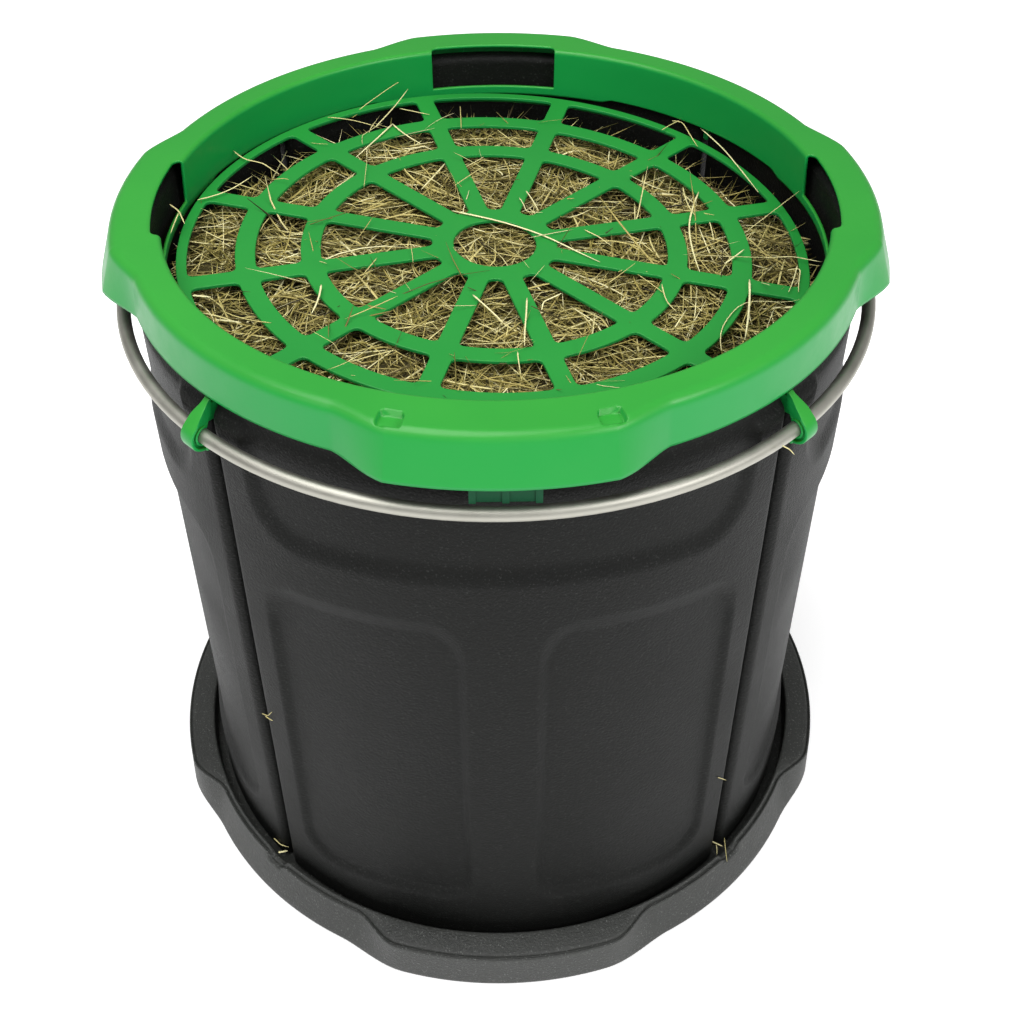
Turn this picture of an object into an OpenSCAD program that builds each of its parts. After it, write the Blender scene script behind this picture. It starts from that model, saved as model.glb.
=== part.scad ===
// Round slow feeder for hay: a lobed base tray, four double-skinned wall
// panels tied together by a steel hoop and four hook clips, a channel-shaped
// lid ring that caps the panels, and a slotted grid that rides on the hay.
// Millimetres. +Z is up, the origin is at the centre of the base on the
// ground, and the latch side of the feeder faces -Y.

/* [Wall panels] */
// Outer radius of the wall panels
wall_r = 339; // [320:1:360]
// Height of the panels' top edge above the ground
wall_top = 707; // [560:1:760]
// Gap between neighbouring panels at the joints
joint_gap = 7; // [6:0.5:9]
// Thickness of a panel between its outer and inner faces
wall_t = 25; // [21:1:26]
// Depth of the sunk fields in a panel
field_d = 6; // [3:0.5:7]

/* [Base tray] */
// Radius of the base between the lobes, beyond the wall radius
base_out = 31; // [28:1:34]
// Further reach of the four toe lobes
base_lobe = 12; // [6:1:16]
// Height of the base's rim
rim_h = 50; // [44:1:60]

/* [Hoop and clips] */
// Diameter of the hoop's steel tube
tube_d = 12.7; // [12:0.1:13]
// Height of the hoop below the panels' top edge
hoop_drop = 58; // [54:1:64]
// Width of a hook clip along the hoop
clip_w = 15; // [10:1:18]

/* [Lid ring] */
// Height of the lid's crown above the panels' top edge
crown = 20; // [16:1:22]
// Drop of the lid's skirt below the panels' top edge
skirt = 23; // [20:1:26]
// Further reach of the four lifting lobes
lid_lobe = 23; // [16:1:25]
// Width of a window in the lid's inner wall
window_w = 132; // [90:1:150]

/* [Latches] */
// Width of a latch
latch_w = 57; // [50:1:57]
// Distance of a latch's middle from the middle of its pin
latch_dy = 3.2; // [0:0.1:3.2]

/* [Floating grid] */
// Outer radius of the grid
grid_r = 293.5; // [270:0.5:296]
// Number of spokes
spokes = 12; // [8:1:16]
// Width of a spoke and of a ring
web_w = 18.5; // [14:0.5:24]
// Thickness of the grid's webs
grid_t = 3.5; // [3:0.5:6]
// Radius of the middle hole
hub_hole = 39; // [30:1:46]
// Height of the grid's middle below the panels' top edge
grid_drop = 33; // [30:1:60]
// Lean of the grid on the hay, left side up, in degrees
lean_x = 1.9; // [0:0.1:2]
// Lean of the grid on the hay, rear side up, in degrees
lean_y = 1.1; // [0:0.1:1.5]

/* [Hidden] */
$fn = 96;

black = [0.13, 0.135, 0.135];
green = [0.15, 0.62, 0.25];
teal = [0.16, 0.42, 0.30];
steel = [0.66, 0.65, 0.61];
straw = [0.62, 0.55, 0.30];

base_r = wall_r + base_out;      // rim between the lobes
toe_r = base_r + base_lobe;      // rim at a lobe
slot_r = wall_r + 10;            // outer wall of the tray's groove
slot_ri = wall_r - wall_t - 5;   // inner wall of the groove
floor_z = 40;                    // raised floor of the tray
slot_z = 24;                     // bottom of the groove
wall_z0 = slot_z + 2;            // bottom of the panels
wall_ri = wall_r - wall_t;       // panels' inner face
neck_r = wall_r - 8;             // panels' outer face under the lid
neck_z = wall_top - 43;          // where the shoulder starts
field_r = wall_r - field_d;      // floor of a sunk field
gap_a = asin(joint_gap / 2 / wall_r);
half_a = 45 - gap_a;             // half of a panel's angle

hoop_z = wall_top - hoop_drop;
tube_r = tube_d / 2;
hoop_r = wall_r + 1.8 + tube_r;

top_z = wall_top + crown;        // lid's crown
skirt_z = wall_top - skirt;      // lid's lower outer edge
lip_z = wall_top - 30;           // lid's lower inner edge
lid_ro = wall_r - 2;             // skirt's outer face
lid_ri = wall_r - 36;            // inner wall's face
toe_lid = wall_r - 2 + lid_lobe; // lobe's lower outer edge
pin_r = 2.5;
pin_y = wall_r - 1.5;            // latch pin's distance from the axis
pin_z = skirt_z + 9;
latch_y0 = latch_dy - latch_w / 2;

grid_z = wall_top - grid_drop;   // grid's upper face in the middle
ring_a = 0.788 * grid_r;
ring_b = 0.584 * grid_r;
hub_r = 0.200 * grid_r;

// Smooth step from 0 to 1
function ease(t) = let (u = min(1, max(0, t))) u * u * (3 - 2 * u);
// Distance in degrees from the nearest quarter direction
function off(a) = let (b = (a % 90 + 90) % 90) min(b, 90 - b);
// Outline radius with four lobes
function lobed(r, h, a, a0, a1) = r + h * ease((a1 - off(a)) / (a1 - a0));

// Ring sector: profile revolved over an arc centred on azimuth az
module sector(az, half) {
    rotate([0, 0, az - half]) rotate_extrude(angle = 2 * half) children();
}

module lobed_plate(r, h, a0, a1, z0, z1) {
    translate([0, 0, z0]) linear_extrude(z1 - z0)
        polygon([for (a = [0:2.5:357.5])
            let (q = lobed(r, h, a, a0, a1)) [q * cos(a), q * sin(a)]]);
}

module base_tray() {
    color(black) difference() {
        union() {
            // side band: steeper at the lobes than between them
            for (i = [0:5]) lobed_plate(base_r - 2.2 * i, base_lobe + 1.8 * i, 18 + 0.3 * i, 28 - 0.5 * i,
                i == 0 ? 0 : 4 + 7 * (i - 1), 4 + 7 * i);
            lobed_plate(base_r - 13, base_lobe + 10.5, 19, 25.5, 39, rim_h - 3);
            rotate_extrude() polygon([[0, 10], [base_r - 14, 10], [base_r - 14, rim_h - 3],
                [slot_r + 4.5, rim_h], [0, rim_h]]);
        }
        // tray inside the groove's inner wall
        translate([0, 0, floor_z]) cylinder(r = slot_ri, h = 40);
        // groove that takes the panels
        difference() {
            translate([0, 0, slot_z]) cylinder(r = slot_r, h = 60);
            translate([0, 0, slot_z - 1]) cylinder(r = slot_ri, h = 62);
        }
        // hollow underside within the standing ring
        translate([0, 0, -1]) cylinder(r = slot_ri - 12, h = 7);
        // drain saddles in the rim at the panel joints
        for (k = [0:3]) rotate([0, 0, 45 + 90 * k])
            translate([slot_r - 2, 0, 0]) rotate([90, 0, 90]) linear_extrude(60)
                polygon([[-7, rim_h - 12], [7, rim_h - 12], [17, rim_h + 0.5], [17, rim_h + 9],
                    [-17, rim_h + 9], [-17, rim_h + 0.5]]);
        // screw holes up into the panel feet
        foot_places() {
            translate([0, 0, -1]) cylinder(r = 7, h = 9, $fn = 32);
            translate([0, 0, -1]) cylinder(r = 3.3, h = 40, $fn = 32);
        }
    }
}

// Two screws under each panel
module foot_places() {
    for (k = [0:3]) for (s = [-1, 1]) rotate([0, 0, 90 * k + 22 * s])
        translate([wall_r - wall_t / 2, 0, 0]) children();
}

module foot_screws() {
    color("silver") foot_places() {
        translate([0, 0, 4.5]) cylinder(r = 5.6, h = 3.5, $fn = 32);
        translate([0, 0, 7.9]) cylinder(r = 2.9, h = 40, $fn = 32);
    }
}

module panel(az) {
    color(black) difference() {
        sector(az, half_a) polygon([[wall_ri + 2, wall_z0], [wall_r - 3, wall_z0],
            [wall_r, wall_z0 + 4], [wall_r, neck_z], [neck_r, neck_z + 12],
            [neck_r, wall_top - 7], [neck_r - 5, wall_top], [wall_ri + 3, wall_top],
            [wall_ri, wall_top - 5], [wall_ri, wall_z0 + 4]]);
        // two sunk fields below the band
        for (s = [-1, 1]) sector(az + 22 * s, 16)
            polygon([[wall_r + 5, 90], [wall_r, 90], [field_r, 98],
                [field_r, wall_top - 203], [wall_r, wall_top - 193], [wall_r + 5, wall_top - 193]]);
        // one wide sunk field above the band
        sector(az, 38)
            polygon([[wall_r + 5, wall_top - 151], [wall_r, wall_top - 151],
                [field_r, wall_top - 128], [field_r, wall_top], [wall_r + 5, wall_top]]);
        // bevelled long edges
        for (s = [-1, 1]) rotate([0, 0, az + s * half_a])
            translate([wall_r, 0, 0]) rotate([0, 0, 45])
                cube([11, 11, 2 * wall_top + 40], center = true);
        // slot for the clip's tongue
        for (s = [-1, 1]) rotate([0, 0, az + s * 45])
            translate([wall_ri + wall_t / 2, 0, hoop_z + 10])
                cube([wall_t + 30, 9, 34], center = true);
        // pilot holes for the foot screws
        foot_places() translate([0, 0, wall_z0 - 1]) cylinder(r = 3, h = 40, $fn = 32);
    }
    // strike that a latch hooks under
    if (az == -90 || az == 90) color(black) rotate([0, 0, az])
        translate([field_r - 1, -24, neck_z + 0.5]) cube([5, 48, 7]);
}

module hoop_tube() {
    color(steel) translate([0, 0, hoop_z]) difference() {
        rotate_extrude($fn = 96) translate([hoop_r, 0]) circle(r = tube_r, $fn = 32);
        rotate([0, 0, 87]) rotate_extrude(angle = 6, $fn = 96)
            translate([hoop_r, 0]) circle(r = tube_r - 1.4, $fn = 32);
    }
}

// Plug inside the tube where its two ends meet at the rear
module hoop_spigot() {
    color("silver") translate([0, 0, hoop_z]) rotate([0, 0, 87.2])
        rotate_extrude(angle = 5.6, $fn = 96)
            translate([hoop_r, 0]) circle(r = tube_r - 1.6, $fn = 32);
}

// Hook clip: profile in the radial plane, X outwards from the tube's centre
module clip(az) {
    color(green) rotate([0, 0, az]) translate([hoop_r, 0, hoop_z]) {
        difference() {
            rotate([90, 0, 0]) translate([0, 0, -clip_w / 2]) linear_extrude(clip_w)
                union() {
                    circle(r = tube_r + 6, $fn = 48);
                    polygon([[-10, 32], [-9.2, 27], [9, 8.6], [-4, 2], [-8.4, 9], [-10, 14]]);
                }
            rotate([90, 0, 0]) cylinder(r = tube_r + 0.15, h = 2 * clip_w, center = true);
            // mouth of the hook, below and towards the wall
            rotate([90, 0, 0]) linear_extrude(2 * clip_w, center = true)
                polygon([[0, 0], [-1, -22], [-22, -22], [-22, 6], [-7.2, 6]]);
            // sunk web on both sides
            for (s = [-1, 1]) translate([0, s * (clip_w / 2 + 1), 0]) rotate([90, 0, 0])
                difference() {
                    cylinder(r = tube_r + 4, h = 8, center = true);
                    cylinder(r = tube_r + 2, h = 10, center = true);
                }
        }
        // tongue in the joint, with a barbed tip
        translate([wall_ri - hoop_r + 4, -2.4, 8]) cube([wall_t - 3, 4.8, 18]);
        translate([wall_ri - hoop_r + 4, -3.7, 10]) cube([5, 7.4, 14]);
    }
}

module lid_ring() {
    color(green) difference() {
        union() {
            difference() {
                union() {
                    // channel that caps the panels
                    rotate_extrude() polygon([[lid_ro, skirt_z], [lid_ro - 2, top_z - 10],
                        [lid_ro - 5, top_z - 3], [lid_ro - 10, top_z], [lid_ri + 7, top_z],
                        [lid_ri + 1, top_z - 2], [lid_ri - 1, top_z - 7], [lid_ri + 2, lip_z],
                        [lid_ri + 5.2, lip_z], [lid_ri + 2.4, top_z - 8.5],
                        [lid_ri + 4.4, top_z - 5], [lid_ri + 8.5, top_z - 4],
                        [lid_ro - 11, top_z - 4], [lid_ro - 8, top_z - 6],
                        [lid_ro - 5, top_z - 12], [lid_ro - 3.5, skirt_z]]);
                    // lifting lobes
                    for (k = [0:3]) for (q = [[15.4, 0], [17, 0.13], [18.6, 0.46], [20.4, 0.76]])
                        sector(90 * k, q[0]) polygon([[lid_ro - 4.4, top_z - 4.3],
                            [lid_ro - 0.5, top_z - 5], [toe_lid - q[1] * lid_lobe, skirt_z + 2.4],
                            [toe_lid - q[1] * lid_lobe, skirt_z + 0.2], [lid_ro - 3, skirt_z + 0.2]]);
                }
                // finger space behind each lobe
                for (k = [0:3]) sector(90 * k, 14.2)
                    polygon([[lid_ro - 7, skirt_z - 1], [toe_lid - 3.6, skirt_z - 1],
                        [toe_lid - 3.8, skirt_z + 1.2], [lid_ro - 2.6, top_z - 12.4],
                        [lid_ro - 7, top_z - 11.2]]);
            }
            // ears for the latch pins, inside the front and rear lobes
            for (k = [0, 1]) rotate([0, 0, -90 + 180 * k])
                for (s = [-1, 1]) translate([pin_y - 4, s * 34.5 - 2.5, pin_z - 4.5])
                    cube([8, 5, top_z - 7.5 - pin_z + 4.5 - 7.7]);
            for (k = [0, 1]) rotate([0, 0, -90 + 180 * k])
                for (s = [-1, 1]) translate([pin_y - 3.9, s * 34.5 - 2.4, pin_z + 3])
                    cube([3.2, 4.8, top_z - 6.4 - pin_z - 3]);
            // ribs that stand on the panels
            for (k = [0:7]) rotate([0, 0, 22.5 + 45 * k])
                translate([wall_ri + 3, -1.5, wall_top + 0.4])
                    cube([lid_ro - 12 - wall_ri - 3, 3, top_z - 2.8 - wall_top - 0.4]);
        }
        // windows through the inner wall and the crown's edge, at the right, rear and left
        for (k = [0:2]) rotate([0, 0, 90 * k]) intersection() {
            translate([lid_ri - 20, -window_w / 2, lip_z + 5.5]) cube([60, window_w, 80]);
            cylinder(r = lid_ri + 7.5, h = 2 * top_z);
        }
        // two small slots in the front lobe's shoulder
        for (a = [-105.5, -74.5]) rotate([0, 0, a])
            translate([lid_ro - 13, -8.5, top_z - 3.2]) cube([20, 17, 12]);
        // bores for the latch pins
        for (s = [-1, 1]) translate([0, s * pin_y, pin_z]) rotate([0, 90, 0])
            cylinder(r = pin_r + 0.05, h = 90, center = true, $fn = 32);
    }
}

// Pull latch hanging on its pin under a lobe, with a nose for the strike
module latch(az) {
    color(teal) rotate([0, 0, az]) difference() {
        union() {
            translate([pin_y, 0, pin_z]) rotate([90, 0, 0])
                translate([0, 0, -latch_dy]) cylinder(r = 4.1, h = latch_w, center = true, $fn = 32);
            translate([pin_y + 2.5, latch_y0, skirt_z - 26]) cube([3, latch_w, pin_z - skirt_z + 26]);
            // top bar and three ribs
            translate([pin_y + 4, latch_y0, skirt_z - 10]) cube([2.7, latch_w, 10]);
            for (t = [0, 0.5, 1]) translate([pin_y + 4, latch_y0 + t * (latch_w - 5.5), skirt_z - 26.5])
                cube([2.9, 5.5, 26]);
            // nose
            translate([pin_y - 0.2, latch_dy - 20, skirt_z - 26]) cube([5, 40, 4]);
        }
        rotate([0, 0, 0]) translate([pin_y, 0, pin_z]) rotate([90, 0, 0])
            cylinder(r = pin_r + 0.06, h = 90, center = true, $fn = 32);
    }
}

module latch_pin(az) {
    color("silver") rotate([0, 0, az]) translate([pin_y, 0, pin_z]) rotate([90, 0, 0]) {
        cylinder(r = pin_r, h = 76, center = true, $fn = 32);
    }
}

module float_grid() {
    color(green) translate([-1.5, 0, grid_z]) rotate([lean_y, lean_x, 0]) difference() {
        translate([0, 0, -grid_t]) union() {
            difference() {
                cylinder(r = grid_r, h = grid_t);
                translate([0, 0, -1]) cylinder(r = grid_r - 9.5, h = grid_t + 2);
            }
            // down-turned rim
            translate([0, 0, -5]) difference() {
                cylinder(r = grid_r, h = 6);
                translate([0, 0, -1]) cylinder(r = grid_r - 3.5, h = 8);
            }
            for (r = [ring_a, ring_b]) difference() {
                cylinder(r = r + web_w / 2, h = grid_t);
                translate([0, 0, -1]) cylinder(r = r - web_w / 2, h = grid_t + 2);
            }
            cylinder(r = hub_r, h = grid_t);
            for (k = [0:spokes - 1]) rotate([0, 0, (k + 0.5) * 360 / spokes])
                translate([hub_r - 8, -web_w / 2, 0]) cube([grid_r - hub_r + 4, web_w, grid_t]);
        }
        translate([0, 0, -30]) cylinder(r = hub_hole, h = 60);
    }
}

// Hay between the tray and the grid
module hay_fill() {
    color(straw) rotate_extrude() polygon([[0, floor_z + 0.2], [slot_ri - 3, floor_z + 0.2],
        [slot_ri - 3, rim_h + 4], [wall_ri - 4, rim_h + 10], [wall_ri - 4, hoop_z - 50],
        [wall_ri - 15, hoop_z - 38], [grid_r - 13, hoop_z - 27],
        [0, grid_z - grid_t - 1.5]]);
}

base_tray();
panel(-90);  // wall_front
panel(0);  // wall_right
panel(90);  // wall_rear
panel(180);  // wall_left
foot_screws();
hoop_tube();
hoop_spigot();
clip(-135);  // clip_front_left
clip(-45);  // clip_front_right
clip(45);  // clip_rear_right
clip(135);  // clip_rear_left
lid_ring();
latch(-90);  // latch_front
latch(90);  // latch_rear
latch_pin(-90);  // latch_pin_front
latch_pin(90);  // latch_pin_rear
float_grid();
hay_fill();
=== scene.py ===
import math
import bpy
import bmesh
import numpy as np
from mathutils import Vector, Matrix


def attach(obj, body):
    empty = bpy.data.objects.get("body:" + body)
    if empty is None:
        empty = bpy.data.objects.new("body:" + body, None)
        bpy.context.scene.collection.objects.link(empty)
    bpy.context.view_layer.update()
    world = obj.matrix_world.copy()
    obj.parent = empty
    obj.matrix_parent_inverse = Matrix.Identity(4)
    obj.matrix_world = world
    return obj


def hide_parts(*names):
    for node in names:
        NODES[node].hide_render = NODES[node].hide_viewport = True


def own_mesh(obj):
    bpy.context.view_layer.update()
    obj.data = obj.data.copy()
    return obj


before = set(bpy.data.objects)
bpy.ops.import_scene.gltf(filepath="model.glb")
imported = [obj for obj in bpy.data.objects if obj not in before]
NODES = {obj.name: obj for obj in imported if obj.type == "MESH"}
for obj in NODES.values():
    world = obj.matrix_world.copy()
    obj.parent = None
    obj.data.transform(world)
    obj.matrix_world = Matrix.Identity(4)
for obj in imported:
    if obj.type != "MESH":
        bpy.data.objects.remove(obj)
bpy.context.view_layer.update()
MM = 0.001
PI = math.pi

# ---------------------------------------------------------------- dimensions
WALL_R = 339.0
WALL_RI = 314.0
WALL_Z0, WALL_TOP = 26.0, 712.0
NECK_R, NECK_Z = 331.0, 664.0
TOP_Z = 727.0
SKIRT_Z = 684.0
LIP_Z = 677.0
HOOP_R, HOOP_Z, TUBE_R = 347.15, 649.0, 6.35
GRID_Z, GRID_T, GRID_R = 674.0, 3.5, 293.5
GRID_M = Matrix.Translation((-0.0015, 0, GRID_Z * MM)) @ Matrix.Rotation(math.radians(1.9), 4, "Y") @ Matrix.Rotation(math.radians(1.1), 4, "X")


def smooth(t):
    t = np.clip(t, 0.0, 1.0)
    return t * t * (3 - 2 * t)


def off90(a):
    """Degrees from the nearest quarter direction."""
    b = np.mod(a, 90.0)
    return np.minimum(b, 90.0 - b)


# ---------------------------------------------------------------- mesh helpers
def make_object(name, verts, faces, mat=None, smooth_shade=True):
    me = bpy.data.meshes.new(name)
    me.from_pydata([tuple(v) for v in np.asarray(verts, float)], [], faces)
    me.validate()
    ob = bpy.data.objects.new(name, me)
    bpy.context.scene.collection.objects.link(ob)
    if mat is not None:
        me.materials.append(mat)
    if smooth_shade:
        me.polygons.foreach_set("use_smooth", [True] * len(me.polygons))
    me.update()
    return ob


def grid_faces(nu, nv, wrap_u=False, wrap_v=False, base=0):
    """Quads of a lattice stored as index = u * nv + v."""
    fs = []
    for i in range(nu if wrap_u else nu - 1):
        i2 = (i + 1) % nu
        for j in range(nv if wrap_v else nv - 1):
            j2 = (j + 1) % nv
            fs.append((base + i * nv + j, base + i2 * nv + j, base + i2 * nv + j2, base + i * nv + j2))
    return fs


def fix_normals(ob):
    bm = bmesh.new()
    bm.from_mesh(ob.data)
    bmesh.ops.recalc_face_normals(bm, faces=bm.faces)
    bm.to_mesh(ob.data)
    bm.free()


def apply_mods(ob):
    bpy.context.view_layer.update()
    dg = bpy.context.evaluated_depsgraph_get()
    me = bpy.data.meshes.new_from_object(ob.evaluated_get(dg), preserve_all_data_layers=True, depsgraph=dg)
    ob.modifiers.clear()
    old = ob.data
    ob.data = me
    bpy.data.meshes.remove(old)


def join(obs, name):
    """Joins meshes that all have the same material slots."""
    verts, faces, n = [], [], 0
    sm = []
    for o in obs:
        me = o.data
        co = np.zeros(len(me.vertices) * 3)
        me.vertices.foreach_get("co", co)
        verts.append(co.reshape(-1, 3))
        for p in me.polygons:
            faces.append(tuple(n + v for v in p.vertices))
            sm.append(p.use_smooth)
        n += len(me.vertices)
    mats = list(obs[0].data.materials)
    for o in obs:
        m = o.data
        bpy.data.objects.remove(o)
        bpy.data.meshes.remove(m)
    ob = make_object(name, np.concatenate(verts), faces)
    for m in mats:
        ob.data.materials.append(m)
    ob.data.polygons.foreach_set("use_smooth", sm)
    return ob


# ---------------------------------------------------------------- materials
def new_mat(name):
    m = bpy.data.materials.new(name)
    m.use_nodes = True
    nt = m.node_tree
    bsdf = next(n for n in nt.nodes if n.type == "BSDF_PRINCIPLED")
    return m, nt, bsdf


def coords(nt):
    tc = nt.nodes.new("ShaderNodeTexCoord")
    return tc.outputs["Object"]


def noise(nt, vec, scale, detail=3.0, rough=0.5, dist=0.0):
    n = nt.nodes.new("ShaderNodeTexNoise")
    n.inputs["Scale"].default_value = scale
    n.inputs["Detail"].default_value = detail
    n.inputs["Roughness"].default_value = rough
    n.inputs["Distortion"].default_value = dist
    nt.links.new(vec, n.inputs["Vector"])
    return n.outputs["Fac"]


def ramp(nt, fac, stops):
    r = nt.nodes.new("ShaderNodeValToRGB")
    el = r.color_ramp.elements
    while len(el) > 1:
        el.remove(el[-1])
    el[0].position = stops[0][0]
    el[0].color = stops[0][1]
    for p, c in stops[1:]:
        e = el.new(p)
        e.color = c
    nt.links.new(fac, r.inputs["Fac"])
    return r.outputs["Color"]


def maprange(nt, val, a, b, c, d):
    m = nt.nodes.new("ShaderNodeMapRange")
    for k, v in zip(("From Min", "From Max", "To Min", "To Max"), (a, b, c, d)):
        m.inputs[k].default_value = v
    nt.links.new(val, m.inputs["Value"])
    return m.outputs["Result"]


def bump(nt, height, strength, dist, normal=None):
    b = nt.nodes.new("ShaderNodeBump")
    b.inputs["Strength"].default_value = strength
    b.inputs["Distance"].default_value = dist
    nt.links.new(height, b.inputs["Height"])
    if normal is not None:
        nt.links.new(normal, b.inputs["Normal"])
    return b.outputs["Normal"]


def g(v, a=1.0):
    return (v, v, v, a)


def black_plastic(name, lift=1.0, gloss=0.10):
    m, nt, bs = new_mat(name)
    co = coords(nt)
    big = noise(nt, co, 7.0, 4.0, 0.55)
    speck = noise(nt, co, 520.0, 2.0, 0.6)
    col = ramp(nt, big, [(0.30, (0.0068 * lift, 0.0072 * lift, 0.0066 * lift, 1)),
                         (0.72, (0.0108 * lift, 0.0113 * lift, 0.0104 * lift, 1))])
    dots = ramp(nt, speck, [(0.60, (0, 0, 0, 1)), (0.73, (1, 1, 1, 1))])
    mix = nt.nodes.new("ShaderNodeMix")
    mix.data_type = "RGBA"
    nt.links.new(maprange(nt, dots, 0, 1, 0.0, 0.55), mix.inputs["Factor"])
    nt.links.new(col, mix.inputs["A"])
    mix.inputs["B"].default_value = (0.060 * lift, 0.063 * lift, 0.059 * lift, 1)
    nt.links.new(mix.outputs["Result"], bs.inputs["Base Color"])
    nt.links.new(maprange(nt, big, 0.3, 0.7, 0.42, 0.54), bs.inputs["Roughness"])
    grain = noise(nt, co, 380.0, 3.0, 0.65)
    soft = noise(nt, co, 60.0, 2.0, 0.5)
    n1 = bump(nt, soft, 0.12, 0.0025)
    n2 = bump(nt, grain, 0.85, 0.0011, n1)
    nt.links.new(n2, bs.inputs["Normal"])
    bs.inputs["Specular IOR Level"].default_value = gloss
    return m


def green_plastic(name, base, dark, rough=(0.30, 0.40), painted_side_tint=None, gloss=0.30):
    m, nt, bs = new_mat(name)
    co = coords(nt)
    big = noise(nt, co, 5.0, 3.0, 0.5)
    fine = noise(nt, co, 240.0, 3.0, 0.6)
    col = ramp(nt, big, [(0.30, (*dark, 1)), (0.68, (*base, 1))])
    if painted_side_tint:
        # painted light: faces that look up are painted yellower, as if lit from above, and vertical faces bluer, as
        # if lit by the sky
        tc = nt.nodes.new("ShaderNodeTexCoord")
        sep = nt.nodes.new("ShaderNodeSeparateXYZ")
        nt.links.new(tc.outputs["Normal"], sep.inputs["Vector"])
        mix = nt.nodes.new("ShaderNodeMix")
        mix.data_type = "RGBA"
        nt.links.new(maprange(nt, sep.outputs["Z"], 0.05, 0.75, 0.0, 1.0), mix.inputs["Factor"])
        mix.inputs["A"].default_value = (*painted_side_tint, 1)
        nt.links.new(col, mix.inputs["B"])
        col = mix.outputs["Result"]
    nt.links.new(col, bs.inputs["Base Color"])
    sc = noise(nt, co, 36.0, 5.0, 0.7)
    nt.links.new(maprange(nt, sc, 0.35, 0.7, rough[0], rough[1]), bs.inputs["Roughness"])
    n1 = bump(nt, noise(nt, co, 42.0, 2.0, 0.5), 0.09, 0.002)
    n2 = bump(nt, fine, 0.10, 0.0005, n1)
    nt.links.new(n2, bs.inputs["Normal"])
    bs.inputs["Specular IOR Level"].default_value = gloss
    return m


def steel(name, base, rough=(0.30, 0.42)):
    m, nt, bs = new_mat(name)
    co = coords(nt)
    fine = noise(nt, co, 900.0, 2.0, 0.5)
    big = noise(nt, co, 22.0, 5.0, 0.6)
    col = ramp(nt, big, [(0.3, (base[0] * 0.82, base[1] * 0.82, base[2] * 0.80, 1)), (0.7, (*base, 1))])
    nt.links.new(col, bs.inputs["Base Color"])
    bs.inputs["Metallic"].default_value = 1.0
    nt.links.new(maprange(nt, big, 0.3, 0.7, rough[0], rough[1]), bs.inputs["Roughness"])
    nt.links.new(bump(nt, fine, 0.12, 0.0002), bs.inputs["Normal"])
    return m


def hay_material(name):
    m, nt, bs = new_mat(name)
    at = nt.nodes.new("ShaderNodeAttribute")
    at.attribute_name = "hay_tone_and_depth_shade"
    # hay colour by tone; the dark end of the ramp is painted shade on the deep stalks
    col = ramp(nt, at.outputs["Fac"], [
        (0.00, (0.034, 0.025, 0.004, 1)),
        (0.20, (0.110, 0.084, 0.014, 1)),
        (0.38, (0.250, 0.212, 0.046, 1)),
        (0.55, (0.470, 0.380, 0.110, 1)),
        (0.75, (0.720, 0.620, 0.235, 1)),
        (1.00, (0.930, 0.860, 0.480, 1))])
    co = coords(nt)
    streak = noise(nt, co, 420.0, 2.0, 0.6)
    mix = nt.nodes.new("ShaderNodeMix")
    mix.data_type = "RGBA"
    mix.blend_type = "MULTIPLY"
    mix.inputs["Factor"].default_value = 0.55
    nt.links.new(col, mix.inputs["A"])
    nt.links.new(ramp(nt, streak, [(0.3, g(0.55)), (0.65, g(1.0))]), mix.inputs["B"])
    nt.links.new(mix.outputs["Result"], bs.inputs["Base Color"])
    bs.inputs["Roughness"].default_value = 0.62
    nt.links.new(bump(nt, streak, 0.25, 0.0004), bs.inputs["Normal"])
    return m


def hay_bed_material(name):
    m, nt, bs = new_mat(name)
    co = coords(nt)
    n = noise(nt, co, 150.0, 6.0, 0.75, 1.2)
    # painted shade: the body of the hay is dark brown, standing in for the shade under the stalks
    col = ramp(nt, n, [(0.32, (0.013, 0.010, 0.002, 1)), (0.50, (0.062, 0.050, 0.010, 1)), (0.68, (0.16, 0.13, 0.030, 1))])
    nt.links.new(col, bs.inputs["Base Color"])
    bs.inputs["Roughness"].default_value = 0.85
    nt.links.new(bump(nt, n, 0.9, 0.004), bs.inputs["Normal"])
    return m


M_BLACK = black_plastic("black_shell_grain", 0.86)
# painted light: the tray's copy of the black plastic is made 3.8 times lighter than the walls' copy
M_BASE = black_plastic("black_tray_grain_painted_light", 3.8, 0.38)
# painted shade: the last colour tints the vertical faces of the green shells bluer than their tops
M_GREEN = green_plastic("green_shell", (0.030, 0.302, 0.034), (0.023, 0.268, 0.032), painted_side_tint=(0.008, 0.295, 0.056))
M_GRID = green_plastic("green_grid", (0.017, 0.255, 0.036), (0.013, 0.228, 0.034), (0.36, 0.46), painted_side_tint=(0.007, 0.230, 0.045))
# painted shade: the latch's green plastic is darkened to teal for the shadow under the lid skirt
M_LATCH = green_plastic("green_latch", (0.008, 0.088, 0.036), (0.006, 0.070, 0.029), (0.42, 0.54), gloss=0.13)
M_HOOP = steel("hoop_steel", (0.47, 0.46, 0.41), (0.46, 0.58))
M_PIN = steel("pin_steel", (0.55, 0.55, 0.55))
M_HAY = hay_material("hay_strands")
M_BED = hay_bed_material("hay_bed_painted_shade")


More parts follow.
